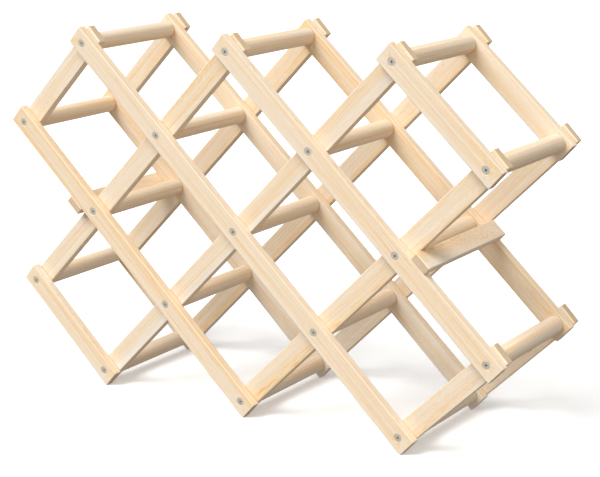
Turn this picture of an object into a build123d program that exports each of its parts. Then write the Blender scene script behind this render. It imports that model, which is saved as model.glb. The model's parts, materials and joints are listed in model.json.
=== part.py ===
from build123d import *
import math
import os

# Folding lattice wine rack: two lattices of crossing slats, front and back,
# joined by round rungs that run front to back.  Every crossing is a pivot:
# one screw from each side goes through both slats into the end of a rung.
# A stop board at each side, on the falling slats, is where the opening ends.
# Frame: X to the right, Y to the back, Z up, origin on the floor under the
# middle of the rack.  All lengths are in millimetres and angles in degrees.

# ---- driving dimensions -------------------------------------------------
pivot_pitch = 100.0         # between neighbouring pivots on one slat
rest_angle = 43.4           # slope of every slat when the rack stands open
columns = 6                 # half-cell steps across the rack
levels = 4                  # half-cell steps up the rack

slat_width = 17.0
slat_thickness = 7.0
end_overhang = 10.5         # slat beyond its last pivot
slat_edge_radius = 0.8      # long edges, eased by sanding
end_chamfer = 0.5           # cut ends, broken by sanding
layer_gap = 0.3             # play between parts that turn on each other

stop_width = 15.0           # stop board, of the same stock as the slats
stop_gap = 0.3              # clear of the rising slats when the rack stands open

rung_length = 91.5
rung_radius = 7.0
rung_chamfer = 0.6

screw_radius = 1.75
screw_length = 30.0
screw_point = 4.0           # length of the tapered point
screw_tip_radius = 0.3
head_radius = 3.3
head_sink = 0.15            # head lies this far below the slat's face
seat_angle = 90.0           # included angle of the countersunk head
recess_length = 3.4         # cross recess, tip to tip
recess_width = 0.7
recess_depth = 1.2
recess_turn = 37.0          # each screw stopped at a different angle
running_clearance = 0.1     # radial, round a screw that a slat turns on
pilot_radius = 1.3          # hole in the rung that the screw bites into
pilot_spare = 1.0           # pilot hole beyond the screw's point

# ---- sizes worked out from them -----------------------------------------
slope = math.radians(rest_angle)
column_step = pivot_pitch * math.cos(slope)
level_step = pivot_pitch * math.sin(slope)
# the lowest corner of a slat's end is below its last pivot by this much
foot_drop = (end_overhang - end_chamfer) * math.sin(slope) + slat_width / 2 * math.cos(slope)

inner_face_y = rung_length / 2 + layer_gap + slat_thickness
outer_face_y = inner_face_y + layer_gap + slat_thickness
head_height = (head_radius - screw_radius) / math.tan(math.radians(seat_angle / 2))
seat_radius = head_radius + head_sink + running_clearance
hole_radius = screw_radius + running_clearance
pilot_depth = head_sink + screw_length + pilot_spare - (outer_face_y - rung_length / 2)
# how far along a falling slat its stop board begins: where the board's outer
# corner is stop_gap from the edge of the rising slat that crosses there
crossing = 2 * slope
stop_corner = slat_width / 2 + slat_thickness
stop_start = (slat_width / 2 + stop_gap + stop_corner * math.cos(crossing)) / math.sin(crossing)

FRONT = -1                  # the front lattice is at -Y
BACK = 1
LEFT = -1
RIGHT = 1
level_names = ("bottom", "lower", "middle", "upper", "top")
centre_pivot = (columns // 2, levels // 2)


def is_pivot(column, level):
    """Pivots fill every other place of the half-cell grid."""
    inside = 0 <= column <= columns and 0 <= level <= levels
    return inside and (column + level) % 2 == 1


def pivot_point(pivot):
    """Place of a pivot in the rack's mid plane."""
    column, level = pivot
    x = (column - columns / 2) * column_step
    z = foot_drop + level * level_step
    return Vector(x, 0, z)


def falling_run(number):
    """Pivots of falling slat 1 to 5, from its upper left end down to the right."""
    total = 2 * number - 1
    return [(c, total - c) for c in range(columns + 1) if is_pivot(c, total - c)]


def rising_run(number):
    """Pivots of rising slat 1 to 5, from its lower left end up to the right."""
    difference = 2 * number - 5
    return [(c, c - difference) for c in range(columns + 1) if is_pivot(c, c - difference)]


def finish(part, name):
    """Label a finished piece and write it."""
    part.label = name
    export_step(part, f"parts/{name}.step")


def make_slat(name, run, face_y, side, countersunk):
    """A slat through its run of pivots, with one broad face at face_y on its outer side."""
    first = pivot_point(run[0])
    last = pivot_point(run[-1])
    middle = (first + last) / 2
    along = (last - first).normalized()
    outward = (0, side, 0)
    lift = Vector(0, side * face_y, 0)
    length = (last - first).length + 2 * end_overhang
    grain = Axis((0, 0, 0), along)

    with BuildPart() as slat:
        with BuildSketch(Plane(origin=middle + lift, x_dir=along, z_dir=outward)):
            Rectangle(length, slat_width)
        extrude(amount=-slat_thickness)
        fillet(slat.edges().filter_by(grain), slat_edge_radius)
        faces_along = slat.faces().sort_by(grain)
        chamfer(faces_along[0].edges() + faces_along[-1].edges(), end_chamfer)
        drillings = [Plane(pivot_point(p) + lift, x_dir=along, z_dir=outward) for p in run]
        with Locations(*drillings):
            if countersunk:
                CounterSinkHole(hole_radius, seat_radius, counter_sink_angle=seat_angle)
            else:
                Hole(hole_radius)
    finish(slat.part, name)


def make_rung(name, pivot):
    """A round rung between the lattices, with a pilot hole in each end."""
    centre = pivot_point(pivot)
    front_end = centre + Vector(0, FRONT * rung_length / 2, 0)
    back_end = centre + Vector(0, BACK * rung_length / 2, 0)

    with BuildPart() as rung:
        with BuildSketch(Plane(front_end, x_dir=(1, 0, 0), z_dir=(0, 1, 0))):
            Circle(rung_radius)
        extrude(amount=rung_length)
        chamfer(rung.edges().filter_by(GeomType.CIRCLE), rung_chamfer)
        pilot_mouths = [
            Plane(front_end, x_dir=(1, 0, 0), z_dir=(0, FRONT, 0)),
            Plane(back_end, x_dir=(1, 0, 0), z_dir=(0, BACK, 0)),
        ]
        with Locations(*pilot_mouths):
            Hole(pilot_radius, depth=pilot_depth)
    finish(rung.part, name)


def make_stop(name, pivot, side):
    """A board from front to back on the outer edges of two falling slats, beside a side pivot."""
    along = Vector(math.cos(slope), 0, -math.sin(slope)) * side
    away = Vector(math.sin(slope), 0, math.cos(slope)) * side
    centre = pivot_point(pivot)
    centre += along * (stop_start + stop_width / 2)
    centre += away * (slat_width + slat_thickness) / 2
    front_end = centre + Vector(0, FRONT * outer_face_y, 0)

    with BuildPart() as stop:
        with BuildSketch(Plane(front_end, x_dir=along, z_dir=(0, 1, 0))):
            Rectangle(stop_width, slat_thickness)
        extrude(amount=outer_face_y + inner_face_y)
        fillet(stop.edges().filter_by(Axis.Y), slat_edge_radius)
        ends = stop.faces().sort_by(Axis.Y)
        chamfer(ends[0].edges() + ends[-1].edges(), end_chamfer)
    finish(stop.part, name)


def head_plane(pivot, side, turn):
    """Top of a screw head at this pivot, with its recess turned to its own angle."""
    head_y = side * (outer_face_y - head_sink)
    top = pivot_point(pivot) + Vector(0, head_y, 0)
    angle = math.radians(turn)
    return Plane(top, x_dir=(math.cos(angle), 0, math.sin(angle)), z_dir=(0, side, 0))


def make_screws(name, pivots):
    """Countersunk cross-head wood screws, one from each side at every pivot of the group."""
    heads = []
    for pivot in pivots:
        for side in (FRONT, BACK):
            turn = recess_turn * (len(heads) + pivot[0] + pivot[1])
            heads.append(head_plane(pivot, side, turn))
    hang = (Align.CENTER, Align.CENTER, Align.MAX)
    shank_length = screw_length - screw_point

    with BuildPart() as screws:
        with Locations(*heads):
            Cylinder(screw_radius, shank_length, align=hang)
            Cone(screw_radius, head_radius, head_height, align=hang)
        with Locations(*[head.offset(-shank_length) for head in heads]):
            Cone(screw_tip_radius, screw_radius, screw_point, align=hang)
        with Locations(*heads):
            Box(recess_length, recess_width, recess_depth, align=hang, mode=Mode.SUBTRACT)
            Box(recess_width, recess_length, recess_depth, align=hang, mode=Mode.SUBTRACT)
    finish(screws.part, name)


# ---- slats ----------------------------------------------------------------
# Seen from the front, the falling slats are outermost in the front lattice and
# innermost in the back one, so the back lattice is the front one moved back.
for number in range(1, 6):
    falling = falling_run(number)
    rising = rising_run(number)
    make_slat(f"front_falling_slat_{number}", falling, outer_face_y, FRONT, True)
    make_slat(f"front_rising_slat_{number}", rising, inner_face_y, FRONT, False)
    make_slat(f"back_falling_slat_{number}", falling, inner_face_y, BACK, False)
    make_slat(f"back_rising_slat_{number}", rising, outer_face_y, BACK, True)

# ---- rungs ----------------------------------------------------------------
for level, level_name in enumerate(level_names):
    places = [c for c in range(columns + 1) if is_pivot(c, level)]
    for number, column in enumerate(places, start=1):
        make_rung(f"rung_{level_name}_{number}", (column, level))

# ---- stop boards, which keep the rack from opening any flatter ------------
make_stop("stop_board_left", (1, levels // 2), LEFT)
make_stop("stop_board_right", (columns - 1, levels // 2), RIGHT)

# ---- screws, in one group for each pair of slats that they turn with ------
make_screws("screws_centre", [centre_pivot])
for number in range(1, 6):
    held = [pivot for pivot in falling_run(number) if pivot != centre_pivot]
    make_screws(f"screws_falling_{number}", held)
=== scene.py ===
"""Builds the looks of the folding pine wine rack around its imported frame.

Two lattices of crossing slats stand one behind the other.  Round rungs join
them, and a countersunk screw goes in from each side at every crossing.  A
stop board at each side keeps the rack from opening any flatter.
The file is laid out as an add-on but is run as a script.
"""

import json
import math

import bmesh
import bpy
from bpy.props import (FloatProperty, FloatVectorProperty, IntProperty,
                       PointerProperty)
from mathutils import Euler, Matrix, Vector


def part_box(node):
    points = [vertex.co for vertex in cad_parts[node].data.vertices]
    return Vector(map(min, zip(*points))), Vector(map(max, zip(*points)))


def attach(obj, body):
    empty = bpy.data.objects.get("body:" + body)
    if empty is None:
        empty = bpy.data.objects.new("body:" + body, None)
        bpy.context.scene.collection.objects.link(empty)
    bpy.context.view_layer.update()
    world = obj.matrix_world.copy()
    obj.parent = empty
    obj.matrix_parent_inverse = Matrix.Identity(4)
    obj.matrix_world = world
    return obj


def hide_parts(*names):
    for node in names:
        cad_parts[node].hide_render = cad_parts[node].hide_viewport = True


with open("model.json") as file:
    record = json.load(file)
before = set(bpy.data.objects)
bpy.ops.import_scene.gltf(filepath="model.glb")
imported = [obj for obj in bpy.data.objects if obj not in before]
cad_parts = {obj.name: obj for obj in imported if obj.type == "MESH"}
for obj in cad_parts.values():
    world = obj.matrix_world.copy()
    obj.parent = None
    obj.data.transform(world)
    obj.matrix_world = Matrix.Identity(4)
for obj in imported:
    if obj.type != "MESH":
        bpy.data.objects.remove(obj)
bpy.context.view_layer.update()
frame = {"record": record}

bl_info = {
    "name": "Folding Pine Wine Rack",
    "version": (1, 0, 0),
    "blender": (4, 5, 0),
    "location": "3D View > Sidebar > Wine Rack",
    "description": "Slats, rungs, stops and screws of a folding wine rack",
    "category": "Object",
}


# ---- the lattice, as the frame gives it -----------------------------------

COLUMNS = 6
LEVELS = 4
SLATS_EACH_WAY = 5
ROWS = ("bottom", "lower", "middle", "upper", "top")
CENTRE = (3, 2)
FRONT, BACK = -1, 1


def is_pivot(column, level):
    """Pivots fill every other place of the half-cell grid."""
    return (0 <= column <= COLUMNS and 0 <= level <= LEVELS
            and (column + level) % 2 == 1)


def rung_name(column, level):
    """The frame's rung at a pivot."""
    return f"rung_{ROWS[level]}_{column // 2 + 1}"


def pivot_place(column, level):
    """Centre of the rung at a pivot, in the rack's middle plane."""
    low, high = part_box(rung_name(column, level))
    return (low + high) / 2


def falling_step():
    """From one pivot to the next on a falling slat."""
    column, level = CENTRE
    return pivot_place(column + 1, level - 1) - pivot_place(*CENTRE)


def falling_run(number):
    """Pivots of a slat that falls to the right, from its upper end."""
    total = 2 * number - 1
    return [(c, total - c) for c in range(COLUMNS + 1)
            if is_pivot(c, total - c)]


def rising_run(number):
    """Pivots of a slat that rises to the right, from its lower end."""
    offset = 2 * number - 5
    return [(c, c - offset) for c in range(COLUMNS + 1)
            if is_pivot(c, c - offset)]


def body_of(node_name):
    """The moving body that a frame node belongs to."""
    for body, members in frame["record"]["behaviour"]["bodies"].items():
        if node_name in members:
            return body
    raise RuntimeError(f"no body holds {node_name}")


slat_low, slat_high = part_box("front_falling_slat_3")
rung_low, rung_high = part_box("rung_middle_2")
stop_low, stop_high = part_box("stop_board_right")


# ---- sizes and colours ----------------------------------------------------

def length_property(name, about, value):
    return FloatProperty(name=name, description=about, default=value, min=0,
                         subtype="DISTANCE", unit="LENGTH", precision=5)


def colour_property(name, about, value):
    return FloatVectorProperty(name=name, description=about, default=value,
                               size=3, min=0, max=1, subtype="COLOR")


class SlatSizes(bpy.types.PropertyGroup):
    """Sizes of the flat slats."""
    width: length_property("Width", "Across the broad face", 0.017)
    thickness: length_property("Thickness", "Through the slat",
                               slat_high.y - slat_low.y)
    edge_radius: length_property("Eased edge", "Radius of the long edges",
                                 0.0008)
    end_chamfer: length_property("End chamfer", "Break round the cut ends",
                                 0.0005)
    overhang: length_property("Overhang", "Slat beyond its last pivot",
                              0.0105)
    hole_radius: length_property("Hole radius", "Clearance hole for a screw",
                                 0.00185)
    seat_depth: length_property("Seat depth", "Countersink below the face",
                                0.00155)


class StopSizes(bpy.types.PropertyGroup):
    """Sizes of the stop boards at the sides."""
    length: length_property("Length", "From front to back",
                            stop_high.y - stop_low.y)
    width: length_property("Width", "Along the slat that carries it", 0.015)
    thickness: length_property("Thickness", "Proud of the slat", 0.007)
    edge_radius: length_property("Eased edge", "Radius of the long edges",
                                 0.0008)
    end_chamfer: length_property("End chamfer", "Break round the cut ends",
                                 0.0005)


class RungSizes(bpy.types.PropertyGroup):
    """Sizes of the round rungs."""
    length: length_property("Length", "Between the two lattices",
                            rung_high.y - rung_low.y)
    radius: length_property("Radius", "Of the round bar",
                            (rung_high.z - rung_low.z) / 2)
    chamfer: length_property("End chamfer", "Break round the ends", 0.0006)
    pilot_radius: length_property("Pilot radius", "Hole cut by the screw",
                                  0.0018)
    pilot_depth: length_property("Pilot depth", "Hole depth in each end",
                                 0.0165)


class ScrewSizes(bpy.types.PropertyGroup):
    """Sizes of the countersunk cross-head screws."""
    length: length_property("Length", "Top of head to tip", 0.030)
    radius: length_property("Shank radius", "Of the plain shank", 0.00175)
    tip_radius: length_property("Tip radius", "Blunt end of the point",
                                0.0003)
    point: length_property("Point", "Length of the taper", 0.004)
    head_radius: length_property("Head radius", "At the top", 0.0033)
    head_sink: length_property("Head sink", "Head below the slat's face",
                               0.00015)
    recess_length: length_property("Recess length", "Tip to tip of the cross",
                                   0.0034)
    recess_width: length_property("Recess width", "Of each wing", 0.00075)
    recess_depth: length_property("Recess depth", "At the top of the wings",
                                  0.0012)


class PineLook(bpy.types.PropertyGroup):
    """Colours of the bare pine."""
    sapwood: colour_property("Sapwood", "Pale wood between the lines",
                             (0.925, 0.84, 0.668))
    latewood: colour_property("Latewood", "The grain lines",
                              (0.66, 0.43, 0.22))
    # this tint also gives every rung a painted warmth of shade
    warm: colour_property("Warm patches", "Tint of the resinous patches",
                          (0.86, 0.55, 0.33))
    cut_end: colour_property("Cut ends", "Open grain of the sawn ends",
                             (0.56, 0.385, 0.215))
    knot: colour_property("Knots", "Heart of a pin knot",
                          (0.36, 0.17, 0.07))
    ring_gap: FloatProperty(name="Ring gap", default=2.3, min=0.5,
                            description="Growth ring spacing in millimetres")
    seed: IntProperty(name="Seed", default=7, min=0,
                      description="Picks which plank each piece came from")


class SteelLook(bpy.types.PropertyGroup):
    """Colours of the plated screws."""
    plating: colour_property("Plating", "Bright zinc", (0.84, 0.80, 0.69))
    # dark marks on the zinc, and the same colour painted as shade deep in the
    # cross recess
    grime_and_recess_shade: colour_property("Grime", "Dull marks and the cross recess",
                           (0.14, 0.12, 0.095))


class StageSet(bpy.types.PropertyGroup):
    """Floor, lights and camera."""
    floor_colour: colour_property("Floor", "Plain pale floor",
                                  (0.93, 0.93, 0.93))
    floor_radius: length_property("Floor radius", "Reach of the floor", 14.0)
    floor_glow: FloatProperty(name="Floor glow", default=0.22, min=0,
                              description="Light table under the rack")
    room_light: FloatProperty(name="Room light", default=0.34, min=0,
                              description="Even light from all round")
    key_light: FloatProperty(name="Key light", default=3.4, min=0,
                             description="Soft light from the upper left")
    fill_light: FloatProperty(name="Fill light", default=1.0, min=0,
                              description="Soft light from the upper right")
    camera_place: FloatVectorProperty(
        name="Camera", default=(0.67801, -0.90703, 0.42096), size=3,
        description="Where the camera stands", subtype="XYZ", unit="LENGTH")
    camera_turn: FloatProperty(
        name="Turn", default=math.radians(35.98), subtype="ANGLE",
        description="Camera turned to the left of straight ahead")
    camera_tilt: FloatProperty(
        name="Tilt", default=math.radians(14.35), subtype="ANGLE",
        description="Camera tilted down")
    camera_roll: FloatProperty(
        name="Roll", default=math.radians(-1.87), subtype="ANGLE",
        description="Camera rolled about its own line of sight")
    lens: FloatProperty(name="Lens", default=87.88, min=10,
                        description="Focal length in millimetres")


# ---- node helpers ---------------------------------------------------------

def node(tree, kind, inputs=None, **settings):
    """Adds a node; an input may be a value or another node's socket."""
    made = tree.nodes.new(kind)
    for name, value in settings.items():
        setattr(made, name, value)
    for key, value in (inputs or {}).items():
        if isinstance(value, bpy.types.NodeSocket):
            tree.links.new(value, made.inputs[key])
        else:
            made.inputs[key].default_value = value
    return made


def calc(tree, operation, *terms, clamp=False):
    """One sum; the answer is a socket."""
    made = node(tree, "ShaderNodeMath", dict(enumerate(terms)),
                operation=operation, use_clamp=clamp)
    return made.outputs[0]


def vector_calc(tree, operation, *terms):
    """One vector sum; the answer is a socket."""
    made = node(tree, "ShaderNodeVectorMath", dict(enumerate(terms)),
                operation=operation)
    wanted = "Value" if operation in ("LENGTH", "DOT_PRODUCT") else "Vector"
    return made.outputs[wanted]


def join_xyz(tree, x, y, z):
    return node(tree, "ShaderNodeCombineXYZ", {0: x, 1: y, 2: z}).outputs[0]


def split_xyz(tree, vector):
    return node(tree, "ShaderNodeSeparateXYZ", {0: vector}).outputs


def smooth_step(tree, value, start, end, low=0.0, high=1.0):
    """Low up to start, then a smooth change to high at end."""
    made = node(tree, "ShaderNodeMapRange",
                {"Value": value, "From Min": start, "From Max": end,
                 "To Min": low, "To Max": high},
                interpolation_type="SMOOTHSTEP")
    return made.outputs["Result"]


def blend_colour(tree, share, first, second, way="MIX"):
    """Share 0 gives the first colour, share 1 the second."""
    def full(colour):
        if isinstance(colour, bpy.types.NodeSocket):
            return colour
        return (*colour, 1.0)
    made = node(tree, "ShaderNodeMix",
                {0: share, 6: full(first), 7: full(second)},
                data_type="RGBA", blend_type=way)
    return made.outputs[2]


def place_of_point(tree):
    return node(tree, "GeometryNodeInputPosition").outputs[0]


def facing_size(tree):
    """How squarely each face looks along X, Y and Z."""
    facing = node(tree, "GeometryNodeInputNormal").outputs[0]
    return split_xyz(tree, vector_calc(tree, "ABSOLUTE", facing))


def new_tree(name, inputs):
    """An empty Geometry Nodes tree with named inputs, as (tree, inputs)."""
    kinds = {float: "NodeSocketFloat", int: "NodeSocketInt",
             Vector: "NodeSocketVector",
             bpy.types.Material: "NodeSocketMaterial"}
    tree = bpy.data.node_groups.new(name, "GeometryNodeTree")
    tree.interface.new_socket("Mesh", in_out="OUTPUT",
                              socket_type="NodeSocketGeometry")
    for label, kind in inputs.items():
        tree.interface.new_socket(label, in_out="INPUT",
                                  socket_type=kinds[kind])
    return tree, tree.nodes.new("NodeGroupInput").outputs


def end_tree(tree, mesh, material):
    """Every tree ends with real geometry in its own material."""
    real = node(tree, "GeometryNodeRealizeInstances", {0: mesh}).outputs[0]
    done = node(tree, "GeometryNodeSetMaterial",
                {"Geometry": real, "Material": material}).outputs[0]
    node(tree, "NodeGroupOutput", {0: done})


def store(tree, mesh, name, value, kind="FLOAT_VECTOR", domain="POINT"):
    """Writes a named attribute for the material to read."""
    return node(tree, "GeometryNodeStoreNamedAttribute",
                {"Geometry": mesh, "Name": name, "Value": value},
                data_type=kind, domain=domain).outputs[0]


def random_vector(tree, seed, low, high):
    """One random vector for the whole piece."""
    return node(tree, "FunctionNodeRandomValue",
                {0: low, 1: high, "ID": 0, "Seed": seed},
                data_type="FLOAT_VECTOR").outputs[0]


def compare(tree, operation, first, second):
    return node(tree, "FunctionNodeCompare", {0: first, 1: second},
                data_type="FLOAT", operation=operation).outputs[0]


def pick(tree, index, choices):
    """The choice at this index, one for each ring of a turned piece."""
    switch = node(tree, "GeometryNodeIndexSwitch", data_type="FLOAT")
    while len(switch.index_switch_items) < len(choices):
        switch.index_switch_items.new()
    tree.links.new(index, switch.inputs[0])
    for place, choice in enumerate(choices, start=1):
        if isinstance(choice, bpy.types.NodeSocket):
            tree.links.new(choice, switch.inputs[place])
        else:
            switch.inputs[place].default_value = choice
    return switch.outputs[0]


def lathe(tree, profile, sides):
    """Turns a profile of (height, radius) pairs about Z, bottom ring first.

    A ring of no radius closes to a single point."""
    rings = len(profile)
    grid = node(tree, "GeometryNodeMeshGrid",
                {"Size X": 1.0, "Size Y": float(rings - 1),
                 "Vertices X": sides + 1, "Vertices Y": rings}).outputs[0]
    x, y, _ = split_xyz(tree, place_of_point(tree))
    ring = calc(tree, "ROUND", calc(tree, "ADD", y, (rings - 1) / 2))
    angle = calc(tree, "MULTIPLY", x, math.tau)
    height = pick(tree, ring, [h for h, _ in profile])
    radius = pick(tree, ring, [r for _, r in profile])
    place = join_xyz(tree,
                     calc(tree, "MULTIPLY", radius,
                          calc(tree, "COSINE", angle)),
                     calc(tree, "MULTIPLY", radius,
                          calc(tree, "SINE", angle)),
                     height)
    turned = node(tree, "GeometryNodeSetPosition",
                  {"Geometry": grid, "Position": place}).outputs[0]
    return node(tree, "GeometryNodeMergeByDistance",
                {"Geometry": turned, "Distance": 1e-6}).outputs[0]


HARD_BEND = 0.6             # radians between faces at a hard line
TO_MILLIMETRES = (1000.0, 1000.0, 1000.0)
LOTS = 100                  # seeds set aside for each choice of plank
FIRST_SEED = {"falling": 0, "rising": 20, "rungs": 40, "stops": 66}
BACK_SEEDS = 10             # the back slats' seeds follow the front ones'
KNOT_SEEDS = 500.0          # a knot's seed, past the seed of its piece


def crisp(tree, mesh, rounded):
    """Smooth shading where rounded is true, flat elsewhere, and a hard
    line wherever two faces meet at a clear angle."""
    shaded = node(tree, "GeometryNodeSetShadeSmooth",
                  {"Geometry": mesh, "Shade Smooth": rounded},
                  domain="FACE").outputs[0]
    bend = node(tree, "GeometryNodeInputMeshEdgeAngle").outputs[0]
    hard = compare(tree, "GREATER_THAN", bend, HARD_BEND)
    return node(tree, "GeometryNodeSetShadeSmooth",
                {"Geometry": shaded, "Selection": hard,
                 "Shade Smooth": False}, domain="EDGE").outputs[0]


def put_in_place(tree, mesh, turn, place):
    rotation = node(tree, "FunctionNodeEulerToRotation", {0: turn}).outputs[0]
    return node(tree, "GeometryNodeTransform",
                {"Geometry": mesh, "Rotation": rotation,
                 "Translation": place}).outputs[0]


def grow(name, tree, values):
    """Runs a tree once and keeps its result as a plain mesh object."""
    carrier = bpy.data.objects.new(name, bpy.data.meshes.new(name))
    bpy.context.scene.collection.objects.link(carrier)
    modifier = carrier.modifiers.new("make", "NODES")
    modifier.node_group = tree
    for item in tree.interface.items_tree:
        if item.in_out == "INPUT":
            modifier[item.identifier] = values[item.name]
    graph = bpy.context.evaluated_depsgraph_get()
    mesh = bpy.data.meshes.new_from_object(carrier.evaluated_get(graph),
                                           preserve_all_data_layers=True,
                                           depsgraph=graph)
    bpy.data.objects.remove(carrier)
    if not mesh.polygons:
        raise RuntimeError(f"{name} came out empty")
    mesh.name = name
    piece = bpy.data.objects.new(name, mesh)
    bpy.context.scene.collection.objects.link(piece)
    return piece


# ---- trees ----------------------------------------------------------------

def slat_tree():
    """A slat along X from its first pivot, width along Y, seats on +Z."""
    tree, put = new_tree("slat", {
        "Run": float, "Width": float, "Thickness": float,
        "Eased edge": float, "End chamfer": float, "Overhang": float,
        "Pivots": int, "Hole radius": float, "Seat depth": float,
        "Turn": Vector, "Place": Vector, "Seed": int,
        "Wood": bpy.types.Material})

    # The bar: an eased rectangle swept along four stations, with the
    # section drawn in at both ends for the chamfer.
    section = node(tree, "GeometryNodeCurvePrimitiveQuadrilateral",
                   {"Width": put["Width"],
                    "Height": put["Thickness"]}).outputs[0]
    eased = node(tree, "GeometryNodeFilletCurve",
                 {"Curve": section, "Count": 5,
                  "Radius": put["Eased edge"]}, mode="POLY").outputs[0]
    start = calc(tree, "MULTIPLY", put["Overhang"], -1.0)
    finish = calc(tree, "ADD", put["Run"], put["Overhang"])
    index = node(tree, "GeometryNodeInputIndex").outputs[0]
    station = pick(tree, index, [
        start, calc(tree, "ADD", start, put["End chamfer"]),
        calc(tree, "SUBTRACT", finish, put["End chamfer"]), finish])
    stations = node(tree, "GeometryNodeMeshLine",
                    {"Count": 4, "Offset": (0.01, 0, 0)}).outputs[0]
    stations = node(tree, "GeometryNodeSetPosition",
                    {"Geometry": stations,
                     "Position": join_xyz(tree, station, 0.0, 0.0)}
                    ).outputs[0]
    path = node(tree, "GeometryNodeMeshToCurve", {0: stations}).outputs[0]
    bar = node(tree, "GeometryNodeCurveToMesh",
               {"Curve": path, "Profile Curve": eased,
                "Fill Caps": True}).outputs[0]

    here = place_of_point(tree)
    x, y, z = split_xyz(tree, here)
    core_y = calc(tree, "SUBTRACT",
                  calc(tree, "MULTIPLY", put["Width"], 0.5),
                  put["Eased edge"])
    core_z = calc(tree, "SUBTRACT",
                  calc(tree, "MULTIPLY", put["Thickness"], 0.5),
                  put["Eased edge"])
    core = join_xyz(
        tree, 0.0,
        calc(tree, "MAXIMUM", calc(tree, "MULTIPLY", core_y, -1.0),
             calc(tree, "MINIMUM", y, core_y)),
        calc(tree, "MAXIMUM", calc(tree, "MULTIPLY", core_z, -1.0),
             calc(tree, "MINIMUM", z, core_z)))
    outwards = vector_calc(
        tree, "NORMALIZE",
        vector_calc(tree, "SUBTRACT", join_xyz(tree, 0.0, y, z), core))
    at_ends = calc(
        tree, "MAXIMUM",
        calc(tree, "LESS_THAN", x, calc(tree, "ADD", start, 1e-5)),
        calc(tree, "GREATER_THAN", x,
             calc(tree, "SUBTRACT", finish, 1e-5)))
    drawn_in = node(tree, "ShaderNodeVectorMath",
                    {0: outwards,
                     "Scale": calc(tree, "MULTIPLY", put["End chamfer"],
                                   -1.0)},
                    operation="SCALE").outputs[0]
    bar = node(tree, "GeometryNodeSetPosition",
               {"Geometry": bar, "Selection": at_ends,
                "Offset": drawn_in}).outputs[0]

    # The drill: a clearance hole and, where there is a seat, a cone.
    face = calc(tree, "MULTIPLY", put["Thickness"], 0.5)
    seated = calc(tree, "SIGN", put["Seat depth"])
    spare = 0.001
    shoulder = calc(
        tree, "SUBTRACT", calc(tree, "SUBTRACT", face, put["Seat depth"]),
        calc(tree, "MULTIPLY", calc(tree, "SUBTRACT", 1.0, seated), spare))
    mouth = calc(
        tree, "ADD", put["Hole radius"],
        calc(tree, "MULTIPLY", seated,
             calc(tree, "ADD", put["Seat depth"], spare)))
    below = calc(tree, "SUBTRACT", calc(tree, "MULTIPLY", face, -1.0), spare)
    above = calc(tree, "ADD", face, spare)
    drill = lathe(tree, [(below, 0.0), (below, put["Hole radius"]),
                         (shoulder, put["Hole radius"]), (above, mouth),
                         (above, 0.0)], 32)
    gap = calc(tree, "DIVIDE", put["Run"],
               calc(tree, "SUBTRACT", put["Pivots"], 1.0))
    pivots = node(tree, "GeometryNodeMeshLine",
                  {"Count": put["Pivots"],
                   "Offset": join_xyz(tree, gap, 0.0, 0.0)}).outputs[0]
    drills = node(tree, "GeometryNodeRealizeInstances",
                  {0: node(tree, "GeometryNodeInstanceOnPoints",
                           {"Points": pivots, "Instance": drill}
                           ).outputs[0]}).outputs[0]
    bar = node(tree, "GeometryNodeMeshBoolean",
               {"Mesh 1": bar, "Mesh 2": drills},
               operation="DIFFERENCE", solver="EXACT").outputs[0]

    # What the wood needs to know about the piece.
    nx, ny, nz = facing_size(tree)
    flattest = calc(tree, "MAXIMUM", ny, nz)
    lengthwise = compare(tree, "LESS_THAN", nx, 0.02)
    eased_face = calc(tree, "MULTIPLY", lengthwise,
                      compare(tree, "LESS_THAN", flattest, 0.999))
    sawn_face = compare(tree, "GREATER_THAN", nx, 0.9)
    bar = crisp(tree, bar, eased_face)
    bar = store(tree, bar, "wood_place", here)
    bar = store(tree, bar, "wood_end", sawn_face, "FLOAT", "FACE")
    bar = store(tree, bar, "wood_edge", eased_face, "FLOAT", "FACE")
    bar = store(tree, bar, "wood_lot",
                random_vector(tree, put["Seed"], (0, 0, 0), (1, 1, 1)))
    knot = split_xyz(tree, random_vector(
        tree, calc(tree, "ADD", put["Seed"], KNOT_SEEDS),
        (0.12, -0.45, -2.6), (0.88, 0.45, 1.9)))
    bar = store(tree, bar, "wood_knot", join_xyz(
        tree, calc(tree, "MULTIPLY", knot[0], put["Run"]),
        calc(tree, "MULTIPLY", knot[1], put["Width"]),
        calc(tree, "MULTIPLY", calc(tree, "MAXIMUM", knot[2], 0.0),
             calc(tree, "MINIMUM", put["Pivots"], 1.0))))
    end_tree(tree, put_in_place(tree, bar, put["Turn"], put["Place"]),
             put["Wood"])
    return tree


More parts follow.
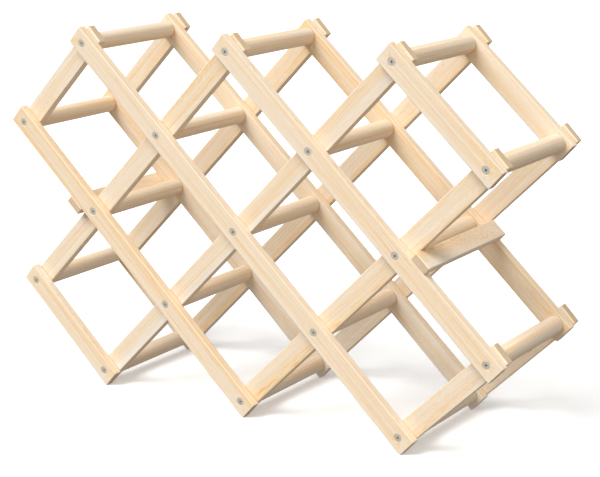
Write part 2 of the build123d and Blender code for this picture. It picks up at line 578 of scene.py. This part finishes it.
def rung_tree():
    """A round rung about Z, with a hole for a screw in each end."""
    tree, put = new_tree("rung", {
        "Length": float, "Radius": float, "Chamfer": float,
        "Pilot radius": float, "Pilot depth": float, "Turn": Vector,
        "Place": Vector, "Seed": int, "Wood": bpy.types.Material})
    half = calc(tree, "MULTIPLY", put["Length"], 0.5)
    minus_half = calc(tree, "MULTIPLY", half, -1.0)
    rim = calc(tree, "SUBTRACT", put["Radius"], put["Chamfer"])
    bar = lathe(tree, [
        (calc(tree, "ADD", minus_half, put["Pilot depth"]), 0.0),
        (calc(tree, "ADD", minus_half, put["Pilot depth"]),
         put["Pilot radius"]),
        (minus_half, put["Pilot radius"]),
        (minus_half, rim),
        (calc(tree, "ADD", minus_half, put["Chamfer"]), put["Radius"]),
        (calc(tree, "SUBTRACT", half, put["Chamfer"]), put["Radius"]),
        (half, rim),
        (half, put["Pilot radius"]),
        (calc(tree, "SUBTRACT", half, put["Pilot depth"]),
         put["Pilot radius"]),
        (calc(tree, "SUBTRACT", half, put["Pilot depth"]), 0.0)], 56)
    _, _, nz = facing_size(tree)
    sawn_face = compare(tree, "GREATER_THAN", nz, 0.9)
    bar = crisp(tree, bar, compare(tree, "LESS_THAN", nz, 0.9))
    x, y, z = split_xyz(tree, place_of_point(tree))
    bar = store(tree, bar, "wood_place", join_xyz(tree, z, x, y))
    bar = store(tree, bar, "wood_end", sawn_face, "FLOAT", "FACE")
    bar = store(tree, bar, "wood_lot",
                random_vector(tree, put["Seed"], (0, 0, 0), (1, 1, 1)))
    end_tree(tree, put_in_place(tree, bar, put["Turn"], put["Place"]),
             put["Wood"])
    return tree


def screw_tree():
    """The screws of one body: a row of pivots, driven from both sides."""
    tree, put = new_tree("screws", {
        "Length": float, "Radius": float, "Tip radius": float,
        "Point": float, "Head radius": float, "Recess length": float,
        "Recess width": float, "Recess depth": float,
        "First": Vector, "Step": Vector, "Count": int, "Left out": int,
        "Head distance": float, "Seed": int,
        "Metal": bpy.types.Material})
    tip = calc(tree, "MULTIPLY", put["Length"], -1.0)
    neck = calc(tree, "SUBTRACT", put["Radius"], put["Head radius"])
    soft = 0.00012
    screw = lathe(tree, [
        (tip, 0.0), (tip, put["Tip radius"]),
        (calc(tree, "ADD", tip, put["Point"]), put["Radius"]),
        (neck, put["Radius"]),
        (-soft, calc(tree, "SUBTRACT", put["Head radius"], soft * 0.5)),
        (-soft * 0.4, calc(tree, "SUBTRACT", put["Head radius"],
                           soft * 0.7)),
        (0.0, calc(tree, "SUBTRACT", put["Head radius"], soft * 1.8)),
        (0.0, 0.0)], 40)

    # Cross recess: two wings that narrow as they go down.
    def wing(long_way, short_way):
        block = node(tree, "GeometryNodeMeshCube",
                     {"Size": join_xyz(tree, long_way, short_way,
                                       calc(tree, "MULTIPLY",
                                            put["Recess depth"], 2.0))}
                     ).outputs[0]
        x, y, z = split_xyz(tree, place_of_point(tree))
        narrow = calc(tree, "SUBTRACT", 1.0, calc(
            tree, "MULTIPLY", calc(tree, "LESS_THAN", z, 0.0), 0.45))
        return node(tree, "GeometryNodeSetPosition",
                    {"Geometry": block, "Position": join_xyz(
                        tree, calc(tree, "MULTIPLY", x, narrow),
                        calc(tree, "MULTIPLY", y, narrow), z)}).outputs[0]
    cut = node(tree, "GeometryNodeMeshBoolean", {"Mesh 1": screw},
               operation="DIFFERENCE", solver="EXACT")
    tree.links.new(wing(put["Recess length"], put["Recess width"]),
                   cut.inputs["Mesh 2"])
    tree.links.new(wing(put["Recess width"], put["Recess length"]),
                   cut.inputs["Mesh 2"])
    screw = cut.outputs[0]
    _, _, nz = facing_size(tree)
    screw = crisp(tree, screw, compare(tree, "LESS_THAN", nz, 0.97))
    screw = store(tree, screw, "screw_place", place_of_point(tree))

    index = node(tree, "GeometryNodeInputIndex").outputs[0]
    wanted = node(tree, "FunctionNodeCompare",
                  {2: index, 3: put["Left out"]},
                  data_type="INT", operation="NOT_EQUAL").outputs[0]
    row = node(tree, "GeometryNodeMeshLine",
               {"Count": put["Count"], "Start Location": put["First"],
                "Offset": put["Step"]}).outputs[0]
    both = node(tree, "GeometryNodeJoinGeometry")
    for side in (FRONT, BACK):
        reach = calc(tree, "MULTIPLY", put["Head distance"], float(side))
        points = node(tree, "GeometryNodeSetPosition",
                      {"Geometry": row,
                       "Offset": join_xyz(tree, 0.0, reach, 0.0)}
                      ).outputs[0]
        spin = node(tree, "FunctionNodeRandomValue",
                    {2: 0.0, 3: math.tau, "ID": index,
                     "Seed": calc(tree, "ADD", put["Seed"], side + 1.0)},
                    data_type="FLOAT").outputs[1]
        upright = node(tree, "FunctionNodeEulerToRotation",
                       {0: (-side * math.pi / 2, 0, 0)}).outputs[0]
        about = node(tree, "FunctionNodeEulerToRotation",
                     {0: join_xyz(tree, 0.0, 0.0, spin)}).outputs[0]
        rotation = node(tree, "FunctionNodeRotateRotation",
                        {"Rotation": upright, "Rotate By": about},
                        rotation_space="LOCAL").outputs[0]
        placed = node(tree, "GeometryNodeInstanceOnPoints",
                      {"Points": points, "Selection": wanted,
                       "Instance": screw, "Rotation": rotation}).outputs[0]
        tree.links.new(placed, both.inputs[0])
    end_tree(tree, both.outputs[0], put["Metal"])
    return tree


# ---- finishes -------------------------------------------------------------

def attribute(tree, name, output="Vector"):
    return node(tree, "ShaderNodeAttribute",
                attribute_name=name).outputs[output]


def grain_noise(tree, place, stretch, detail, roughness=0.5):
    """Noise drawn out by a different amount along, across and through."""
    made = node(tree, "ShaderNodeTexNoise",
                {"Vector": vector_calc(tree, "MULTIPLY", place, stretch),
                 "Scale": 1.0, "Detail": detail, "Roughness": roughness},
                noise_dimensions="3D")
    return made.outputs["Fac"], made.outputs["Color"]


def bare_pine(name, look, round_bar=False):
    """Planed pine read from the piece's own place in its plank.

    Growth rings are cylinders round a heart that lies beside the piece, so
    the broad face, the narrow face and the sawn end all agree."""
    wood = bpy.data.materials.new(name)
    wood.use_nodes = True
    tree = wood.node_tree
    tree.nodes.clear()

    lot = attribute(tree, "wood_lot")
    lot_1, lot_2, lot_3 = split_xyz(tree, lot)
    here = vector_calc(tree, "MULTIPLY", attribute(tree, "wood_place"),
                       TO_MILLIMETRES)
    along, across, through = split_xyz(tree, here)
    plank = vector_calc(tree, "ADD", here, vector_calc(
        tree, "MULTIPLY", lot, (5100.0, 830.0, 470.0)))

    # rings
    _, sway = grain_noise(tree, plank, (0.008, 0.03, 0.03), 2.0)
    sway = vector_calc(tree, "MULTIPLY",
                       vector_calc(tree, "SUBTRACT", sway, (0.5, 0.5, 0.5)),
                       (0.0, 9.0, 9.0))
    _, sway_y, sway_z = split_xyz(tree, sway)
    side = calc(tree, "MULTIPLY", lot_1, math.tau)
    away = calc(tree, "MULTIPLY_ADD", lot_2, 60.0, 22.0)
    lean = calc(tree, "MULTIPLY_ADD", lot_3, 0.05, -0.025)
    ring_y = calc(tree, "ADD", calc(tree, "ADD", across, sway_y), calc(
        tree, "ADD", calc(tree, "MULTIPLY", away,
                          calc(tree, "COSINE", side)),
        calc(tree, "MULTIPLY", lean, along)))
    ring_z = calc(tree, "ADD", calc(tree, "ADD", through, sway_z),
                  calc(tree, "MULTIPLY", away, calc(tree, "SINE", side)))
    radius = vector_calc(tree, "LENGTH",
                         join_xyz(tree, 0.0, ring_y, ring_z))

    # a pin knot on some pieces, which the rings flow round
    knot = None
    if not round_bar:
        knot_x, knot_y, knot_size = split_xyz(
            tree, attribute(tree, "wood_knot"))
        from_knot = vector_calc(tree, "LENGTH", join_xyz(
            tree,
            calc(tree, "MULTIPLY", calc(
                tree, "SUBTRACT", along,
                calc(tree, "MULTIPLY", knot_x, 1000.0)), 0.6),
            calc(tree, "SUBTRACT", across,
                 calc(tree, "MULTIPLY", knot_y, 1000.0)), 0.0))
        reach = calc(tree, "MULTIPLY_ADD", knot_size, 2.2, 0.6)
        pull = calc(tree, "DIVIDE", from_knot, reach)
        pull = calc(tree, "EXPONENT", calc(
            tree, "MULTIPLY", calc(tree, "MULTIPLY", pull, pull), -1.0))
        radius = calc(tree, "ADD", radius, calc(
            tree, "MULTIPLY", pull,
            calc(tree, "MULTIPLY", knot_size, 1.7)))
        knot = calc(tree, "MULTIPLY",
                    smooth_step(tree, calc(tree, "DIVIDE", from_knot,
                                           calc(tree, "ADD", knot_size,
                                                0.01)),
                                0.7, 1.15, 1.0, 0.0),
                    calc(tree, "GREATER_THAN", knot_size, 0.25))

    slow = node(tree, "ShaderNodeTexNoise",
                {"W": calc(tree, "MULTIPLY_ADD", radius, 0.11,
                           calc(tree, "MULTIPLY", lot_1, 90.0)),
                 "Scale": 1.0, "Detail": 1.0},
                noise_dimensions="1D").outputs["Fac"]
    phase = calc(tree, "ADD", calc(tree, "DIVIDE", radius, look.ring_gap),
                 calc(tree, "MULTIPLY", slow, 1.6))
    ring = calc(tree, "FRACT", phase)
    year = node(tree, "ShaderNodeTexWhiteNoise",
                {"W": calc(tree, "FLOOR", phase)},
                noise_dimensions="1D").outputs["Value"]
    line = calc(tree, "MULTIPLY", smooth_step(tree, ring, 0.35, 0.88),
                smooth_step(tree, ring, 0.90, 1.0, 1.0, 0.0))
    line = calc(tree, "MULTIPLY", line,
                calc(tree, "MULTIPLY_ADD", year, 0.75, 0.25))

    fibre, _ = grain_noise(tree, plank, (0.035, 1.2, 1.2), 4.0, 0.6)
    fleck, _ = grain_noise(tree, plank, (0.22, 2.4, 2.4), 2.0)
    fleck = smooth_step(tree, fleck, 0.62, 0.74)
    patch, _ = grain_noise(tree, plank, (0.013, 0.07, 0.07), 3.0)
    patch = smooth_step(tree, patch, 0.46, 0.64)
    mellow, _ = grain_noise(tree, plank, (0.006, 0.2, 0.2), 2.0)

    # colour
    contrast = calc(tree, "MULTIPLY_ADD", lot_3, 0.75, 0.38)
    colour = blend_colour(tree, calc(tree, "MULTIPLY", line, contrast),
                          look.sapwood, look.latewood)
    warmth = calc(tree, "MULTIPLY", patch,
                  calc(tree, "MULTIPLY_ADD", lot_2, 0.75, 0.25))
    plank_tone = node(tree, "ShaderNodeTexWhiteNoise",
                      {"Vector": lot}, noise_dimensions="3D")
    tone_1, tone_2, _ = split_xyz(tree, plank_tone.outputs["Color"])
    # painted shade: the rungs always carry some of the warm tint, standing in
    # for the warmer look of shade between the two lattices
    warmth = calc(tree, "MAXIMUM", warmth,
                  smooth_step(tree, tone_1, 0.25, 1.0, 0.18 if round_bar
                              else 0.0, 0.50))
    colour = blend_colour(tree, warmth, colour, look.warm)
    colour = blend_colour(tree, calc(tree, "MULTIPLY", fleck, 0.16),
                          colour, look.latewood)
    shade = calc(tree, "ADD",
                 calc(tree, "MULTIPLY_ADD", fibre, 0.24, 0.88),
                 calc(tree, "MULTIPLY_ADD", tone_2, 0.14, -0.09))
    depth = calc(tree, "MULTIPLY_ADD", mellow, 0.5,
                 calc(tree, "MULTIPLY_ADD", lot_2, 0.85, 0.35))
    colour = node(tree, "ShaderNodeHueSaturation",
                  {"Saturation": depth, "Value": shade,
                   "Color": colour}).outputs[0]
    if knot is not None:
        rim = calc(tree, "MULTIPLY", pull,
                   calc(tree, "MULTIPLY",
                        calc(tree, "GREATER_THAN", knot_size, 0.25), 0.35))
        colour = blend_colour(tree, rim, colour, look.warm)
        colour = blend_colour(tree, calc(tree, "MULTIPLY", knot, 0.75),
                              colour, look.knot)

    end = attribute(tree, "wood_end", "Fac")
    pores, _ = grain_noise(tree, plank, (0.3, 3.2, 3.2), 3.0, 0.7)
    sawn = blend_colour(tree, calc(tree, "MULTIPLY", line, 0.6),
                        look.cut_end, look.latewood, "MULTIPLY")
    sawn = blend_colour(tree, smooth_step(tree, pores, 0.35, 0.7, 0.0, 0.45),
                        sawn, look.sapwood)
    colour = blend_colour(tree, calc(tree, "MULTIPLY", end, 0.85),
                          colour, sawn)
    rough = calc(tree, "ADD",
                 calc(tree, "MULTIPLY_ADD", fibre, 0.16, 0.46),
                 calc(tree, "MULTIPLY", line, -0.10))
    rough = calc(tree, "MAXIMUM", rough,
                 calc(tree, "MULTIPLY", end, 0.86))

    relief = calc(tree, "ADD", calc(tree, "MULTIPLY", fibre, 0.5),
                  calc(tree, "MULTIPLY", line, 0.5))
    relief = calc(tree, "SUBTRACT", relief,
                  calc(tree, "MULTIPLY", fleck, 0.35))
    relief = calc(tree, "ADD", relief,
                  calc(tree, "MULTIPLY", pores, end))

    if not round_bar:
        # hands and sanding leave the long edges a little darker in places, and
        # the same darkening is painted shade along the eased edges
        edge = attribute(tree, "wood_edge", "Fac")
        edge_wear_and_shade, _ = grain_noise(tree, plank, (0.08, 0.4, 0.4), 3.0, 0.6)
        edge_wear_and_shade = calc(tree, "MULTIPLY", edge,
                   smooth_step(tree, edge_wear_and_shade, 0.35, 0.65, 0.0, 0.16))
        colour = blend_colour(tree, edge_wear_and_shade, colour, look.cut_end)
        rough = calc(tree, "ADD", rough,
                     calc(tree, "MULTIPLY", edge, 0.06))

    bump = node(tree, "ShaderNodeBump",
                {"Height": relief, "Strength": 0.45, "Distance": 0.00012})
    shader = node(tree, "ShaderNodeBsdfPrincipled",
                  {"Base Color": colour, "Roughness": rough,
                   "Normal": bump.outputs[0], "IOR": 1.45,
                   "Specular IOR Level": 0.4})
    node(tree, "ShaderNodeOutputMaterial", {"Surface": shader.outputs[0]})
    return wood


def plated_steel(name, look):
    """Dull zinc over turned steel, with dull dark marks, and painted shade low
    in the cross recess.
    """
    metal = bpy.data.materials.new(name)
    metal.use_nodes = True
    tree = metal.node_tree
    tree.nodes.clear()
    here = vector_calc(tree, "MULTIPLY", attribute(tree, "screw_place"),
                       TO_MILLIMETRES)
    x, y, z = split_xyz(tree, here)
    spread = vector_calc(tree, "LENGTH", join_xyz(tree, x, y, 0.0))
    turned = node(tree, "ShaderNodeTexNoise",
                  {"W": calc(tree, "MULTIPLY", spread, 7.0), "Scale": 1.0,
                   "Detail": 3.0}, noise_dimensions="1D").outputs["Fac"]
    own = node(tree, "ShaderNodeTexCoord").outputs["Object"]
    mottle = node(tree, "ShaderNodeTexNoise",
                  {"Vector": own, "Scale": 900.0, "Detail": 4.0,
                   "Roughness": 0.6}).outputs["Fac"]
    # painted shade: deep down in the cross recess the colour goes dark, on top
    # of the zinc's own mottled dull marks
    recess_shade = smooth_step(tree, z, -0.9, -0.06, 1.0, 0.0)
    inside = calc(tree, "LESS_THAN", spread, 1.9)
    marks_and_recess_shade = calc(tree, "MAXIMUM", calc(tree, "MULTIPLY", recess_shade, inside),
                smooth_step(tree, mottle, 0.55, 0.8, 0.0, 0.35))
    colour = blend_colour(tree, marks_and_recess_shade, look.plating, look.grime_and_recess_shade)
    rough = calc(tree, "ADD", calc(tree, "MULTIPLY_ADD", mottle, 0.22, 0.36),
                 calc(tree, "MULTIPLY", marks_and_recess_shade, 0.3))
    relief = calc(tree, "ADD", turned, calc(tree, "MULTIPLY", mottle, 0.5))
    bump = node(tree, "ShaderNodeBump",
                {"Height": relief, "Strength": 0.3, "Distance": 0.00005})
    shader = node(tree, "ShaderNodeBsdfPrincipled",
                  {"Base Color": colour, "Roughness": rough,
                   "Normal": bump.outputs[0], "Metallic": 0.75})
    node(tree, "ShaderNodeOutputMaterial", {"Surface": shader.outputs[0]})
    return metal


# ---- pieces ---------------------------------------------------------------

def settle(piece, *nodes, slot):
    """Puts a finished piece on its body, in place of its frame nodes."""
    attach(piece, body_of(nodes[0]))
    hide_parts(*nodes)


def add_slat(tree, wood, sizes, frame_name, run, side, seated, seed):
    """One slat, laid along its run of pivots."""
    low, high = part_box(frame_name)
    first, last = pivot_place(*run[0]), pivot_place(*run[-1])
    along = (last - first).normalized()
    outward = Vector((0, side, 0))
    across = outward.cross(along)
    turn = Matrix((along, across, outward)).transposed().to_euler()
    place = Vector((first.x, (low.y + high.y) / 2, first.z))
    piece = grow(f"{frame_name}_pine", tree, {
        "Run": (last - first).length, "Width": sizes.width,
        "Thickness": sizes.thickness, "Eased edge": sizes.edge_radius,
        "End chamfer": sizes.end_chamfer, "Overhang": sizes.overhang,
        "Pivots": len(run), "Hole radius": sizes.hole_radius,
        "Seat depth": sizes.seat_depth if seated else 0.0,
        "Turn": turn, "Place": place, "Seed": seed, "Wood": wood})
    settle(piece, frame_name, slot="slat_pine")


def add_slats(context, way, run_of, seated_side):
    """Every slat of one direction, in both lattices."""
    sizes, look = context.scene.rack_slats, context.scene.rack_pine
    tree = slat_tree()
    wood = bare_pine(f"planed pine, {way} slats", look)
    for number in range(1, SLATS_EACH_WAY + 1):
        seed = look.seed * LOTS + FIRST_SEED[way] + number
        for place, side in (("front", FRONT), ("back", BACK)):
            add_slat(tree, wood, sizes, f"{place}_{way}_slat_{number}",
                     run_of(number), side, side == seated_side,
                     seed if side == FRONT else seed + BACK_SEEDS)


class RACK_OT_falling_slats(bpy.types.Operator):
    """Makes the slats that fall to the right, in both lattices"""
    bl_idname = "rack.falling_slats"
    bl_label = "Falling Slats"

    def execute(self, context):
        add_slats(context, "falling", falling_run, FRONT)
        return {"FINISHED"}


class RACK_OT_rising_slats(bpy.types.Operator):
    """Makes the slats that rise to the right, in both lattices"""
    bl_idname = "rack.rising_slats"
    bl_label = "Rising Slats"

    def execute(self, context):
        add_slats(context, "rising", rising_run, BACK)
        return {"FINISHED"}


class RACK_OT_stops(bpy.types.Operator):
    """Makes the two stop boards, on the edges of the falling slats"""
    bl_idname = "rack.stops"
    bl_label = "Stop Boards"

    def execute(self, context):
        sizes, look = context.scene.rack_stops, context.scene.rack_pine
        tree = slat_tree()
        wood = bare_pine("planed pine, stop boards", look)
        slope = falling_step().normalized()
        for seed, (name, side) in enumerate(
                (("stop_board_left", -1), ("stop_board_right", 1)), start=1):
            low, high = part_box(name)
            along = Vector((0, 1, 0))
            away = Vector((-slope.z, 0, slope.x)) * side
            turn = Matrix((along, away.cross(along), away)).transposed()
            piece = grow(f"{name}_pine", tree, {
                "Run": 0.0, "Width": sizes.width,
                "Thickness": sizes.thickness,
                "Eased edge": sizes.edge_radius,
                "End chamfer": sizes.end_chamfer,
                "Overhang": sizes.length / 2, "Pivots": 0,
                "Hole radius": 0.001, "Seat depth": 0.0,
                "Turn": turn.to_euler(), "Place": (low + high) / 2,
                "Seed": look.seed * LOTS + FIRST_SEED["stops"] + seed,
                "Wood": wood})
            settle(piece, name, slot="slat_pine")
        return {"FINISHED"}


class RACK_OT_rungs(bpy.types.Operator):
    """Makes the round rungs between the two lattices"""
    bl_idname = "rack.rungs"
    bl_label = "Rungs"

    def execute(self, context):
        sizes, look = context.scene.rack_rungs, context.scene.rack_pine
        tree = rung_tree()
        wood = bare_pine("turned pine, rungs", look, round_bar=True)
        seed = look.seed * LOTS + FIRST_SEED["rungs"]
        for level in range(LEVELS + 1):
            for column in range(COLUMNS + 1):
                if not is_pivot(column, level):
                    continue
                seed += 1
                name = rung_name(column, level)
                piece = grow(f"{name}_pine", tree, {
                    "Length": sizes.length, "Radius": sizes.radius,
                    "Chamfer": sizes.chamfer,
                    "Pilot radius": sizes.pilot_radius,
                    "Pilot depth": sizes.pilot_depth,
                    "Turn": Euler((math.pi / 2, 0, 0)),
                    "Place": pivot_place(column, level),
                    "Seed": seed, "Wood": wood})
                settle(piece, name, slot="rung_pine")
        return {"FINISHED"}


class RACK_OT_screws(bpy.types.Operator):
    """Makes the screws, one mesh for each body that they hold together"""
    bl_idname = "rack.screws"
    bl_label = "Screws"

    def execute(self, context):
        sizes = context.scene.rack_screws
        tree = screw_tree()
        metal = plated_steel("zinc plated steel", context.scene.rack_steel)
        head_distance = -slat_low.y - sizes.head_sink
        rows = {"screws_centre": [CENTRE]}
        for number in range(1, SLATS_EACH_WAY + 1):
            rows[f"screws_falling_{number}"] = falling_run(number)
        for seed, (name, run) in enumerate(rows.items(), start=1):
            left_out = -1
            if CENTRE in run and len(run) > 1:
                left_out = run.index(CENTRE)
            piece = grow(f"{name}_steel", tree, {
                "Length": sizes.length, "Radius": sizes.radius,
                "Tip radius": sizes.tip_radius, "Point": sizes.point,
                "Head radius": sizes.head_radius,
                "Recess length": sizes.recess_length,
                "Recess width": sizes.recess_width,
                "Recess depth": sizes.recess_depth,
                "First": pivot_place(*run[0]), "Step": falling_step(),
                "Count": len(run), "Left out": left_out,
                "Head distance": head_distance, "Seed": seed * 10,
                "Metal": metal})
            settle(piece, name, slot="screw_steel")
        return {"FINISHED"}


class RACK_OT_stage(bpy.types.Operator):
    """Sets out the floor, the lights and the camera"""
    bl_idname = "rack.stage"
    bl_label = "Stage"

    def execute(self, context):
        scene, wants = context.scene, context.scene.rack_stage
        shape = bmesh.new()
        bmesh.ops.create_circle(shape, cap_ends=True, segments=96,
                                radius=wants.floor_radius)
        mesh = bpy.data.meshes.new("pale_floor")
        shape.to_mesh(mesh)
        shape.free()
        floor = bpy.data.objects.new("pale_floor", mesh)
        scene.collection.objects.link(floor)
        paper = bpy.data.materials.new("white paper")
        paper.use_nodes = True
        tree = paper.node_tree
        tree.nodes.clear()
        shader = node(tree, "ShaderNodeBsdfPrincipled",
                      {"Base Color": (*wants.floor_colour, 1.0),
                       "Roughness": 0.9, "Specular IOR Level": 0.1,
                       "Emission Color": (1.0, 1.0, 1.0, 1.0),
                       "Emission Strength": wants.floor_glow})
        node(tree, "ShaderNodeOutputMaterial",
             {"Surface": shader.outputs[0]})
        mesh.materials.append(paper)
        # the undersides stay shaded, as if the floor were dark beyond
        floor.visible_diffuse = False
        floor.visible_glossy = False

        room = bpy.data.worlds.new("soft room")
        room.use_nodes = True
        sky = room.node_tree.nodes["Background"]
        sky.inputs["Color"].default_value = (1.0, 0.98, 0.95, 1.0)
        sky.inputs["Strength"].default_value = wants.room_light
        scene.world = room

        def soft_light(name, strength, direction, spread):
            lamp = bpy.data.lights.new(name, "SUN")
            lamp.energy = strength
            lamp.angle = math.radians(spread)
            holder = bpy.data.objects.new(name, lamp)
            holder.rotation_euler = Vector(direction).to_track_quat(
                "Z", "Y").to_euler()
            holder.location = Vector(direction) * 2
            scene.collection.objects.link(holder)
        soft_light("key", wants.key_light, (-0.30, -0.62, 0.85), 40)
        soft_light("fill", wants.fill_light, (0.60, -0.35, 0.70), 70)

        turn, tilt = wants.camera_turn, wants.camera_tilt
        ahead = Vector((-math.sin(turn) * math.cos(tilt),
                        math.cos(turn) * math.cos(tilt), -math.sin(tilt)))
        right = Vector((math.cos(turn), math.sin(turn), 0))
        upward = right.cross(ahead)
        roll = wants.camera_roll
        camera_x = right * math.cos(roll) + upward * math.sin(roll)
        camera_y = upward * math.cos(roll) - right * math.sin(roll)
        camera = bpy.data.objects.new("camera",
                                      bpy.data.cameras.new("camera"))
        camera.data.lens = wants.lens
        camera.data.sensor_width = 36
        camera.data.clip_end = 60
        camera.matrix_world = Matrix.Translation(
            Vector(wants.camera_place)) @ Matrix(
            (camera_x, camera_y, -ahead)).transposed().to_4x4()
        scene.collection.objects.link(camera)
        scene.camera = camera
        scene.view_settings.view_transform = "Standard"
        return {"FINISHED"}


class RACK_PT_maker(bpy.types.Panel):
    """Lists the steps and their sizes"""
    bl_idname = "RACK_PT_maker"
    bl_label = "Folding Wine Rack"
    bl_space_type = "VIEW_3D"
    bl_region_type = "UI"
    bl_category = "Wine Rack"

    def draw(self, context):
        scene = context.scene
        for title, groups, steps in (
                ("Slats", (scene.rack_slats, scene.rack_pine),
                 ("rack.falling_slats", "rack.rising_slats")),
                ("Stops", (scene.rack_stops,), ("rack.stops",)),
                ("Rungs", (scene.rack_rungs,), ("rack.rungs",)),
                ("Screws", (scene.rack_screws, scene.rack_steel),
                 ("rack.screws",)),
                ("Stage", (scene.rack_stage,), ("rack.stage",))):
            box = self.layout.box()
            box.label(text=title)
            for group in groups:
                for key in group.bl_rna.properties.keys():
                    if key not in ("rna_type", "name"):
                        box.prop(group, key)
            for step in steps:
                box.operator(step)


# ---- running it -----------------------------------------------------------

CLASSES = (SlatSizes, StopSizes, RungSizes, ScrewSizes, PineLook, SteelLook,
           StageSet, RACK_OT_falling_slats, RACK_OT_rising_slats,
           RACK_OT_stops, RACK_OT_rungs, RACK_OT_screws, RACK_OT_stage,
           RACK_PT_maker)
SETTINGS = {"rack_slats": SlatSizes, "rack_stops": StopSizes,
            "rack_rungs": RungSizes,
            "rack_screws": ScrewSizes,
            "rack_pine": PineLook, "rack_steel": SteelLook,
            "rack_stage": StageSet}


def register():
    for made in CLASSES:
        bpy.utils.register_class(made)
    for name, kind in SETTINGS.items():
        setattr(bpy.types.Scene, name, PointerProperty(type=kind))


def unregister():
    for name in SETTINGS:
        delattr(bpy.types.Scene, name)
    for made in reversed(CLASSES):
        bpy.utils.unregister_class(made)


def main():
    """Makes every piece in order."""
    register()
    bpy.ops.rack.falling_slats()
    bpy.ops.rack.rising_slats()
    bpy.ops.rack.stops()
    bpy.ops.rack.rungs()
    bpy.ops.rack.screws()
    bpy.ops.rack.stage()


if __name__ == "__main__":
    main()
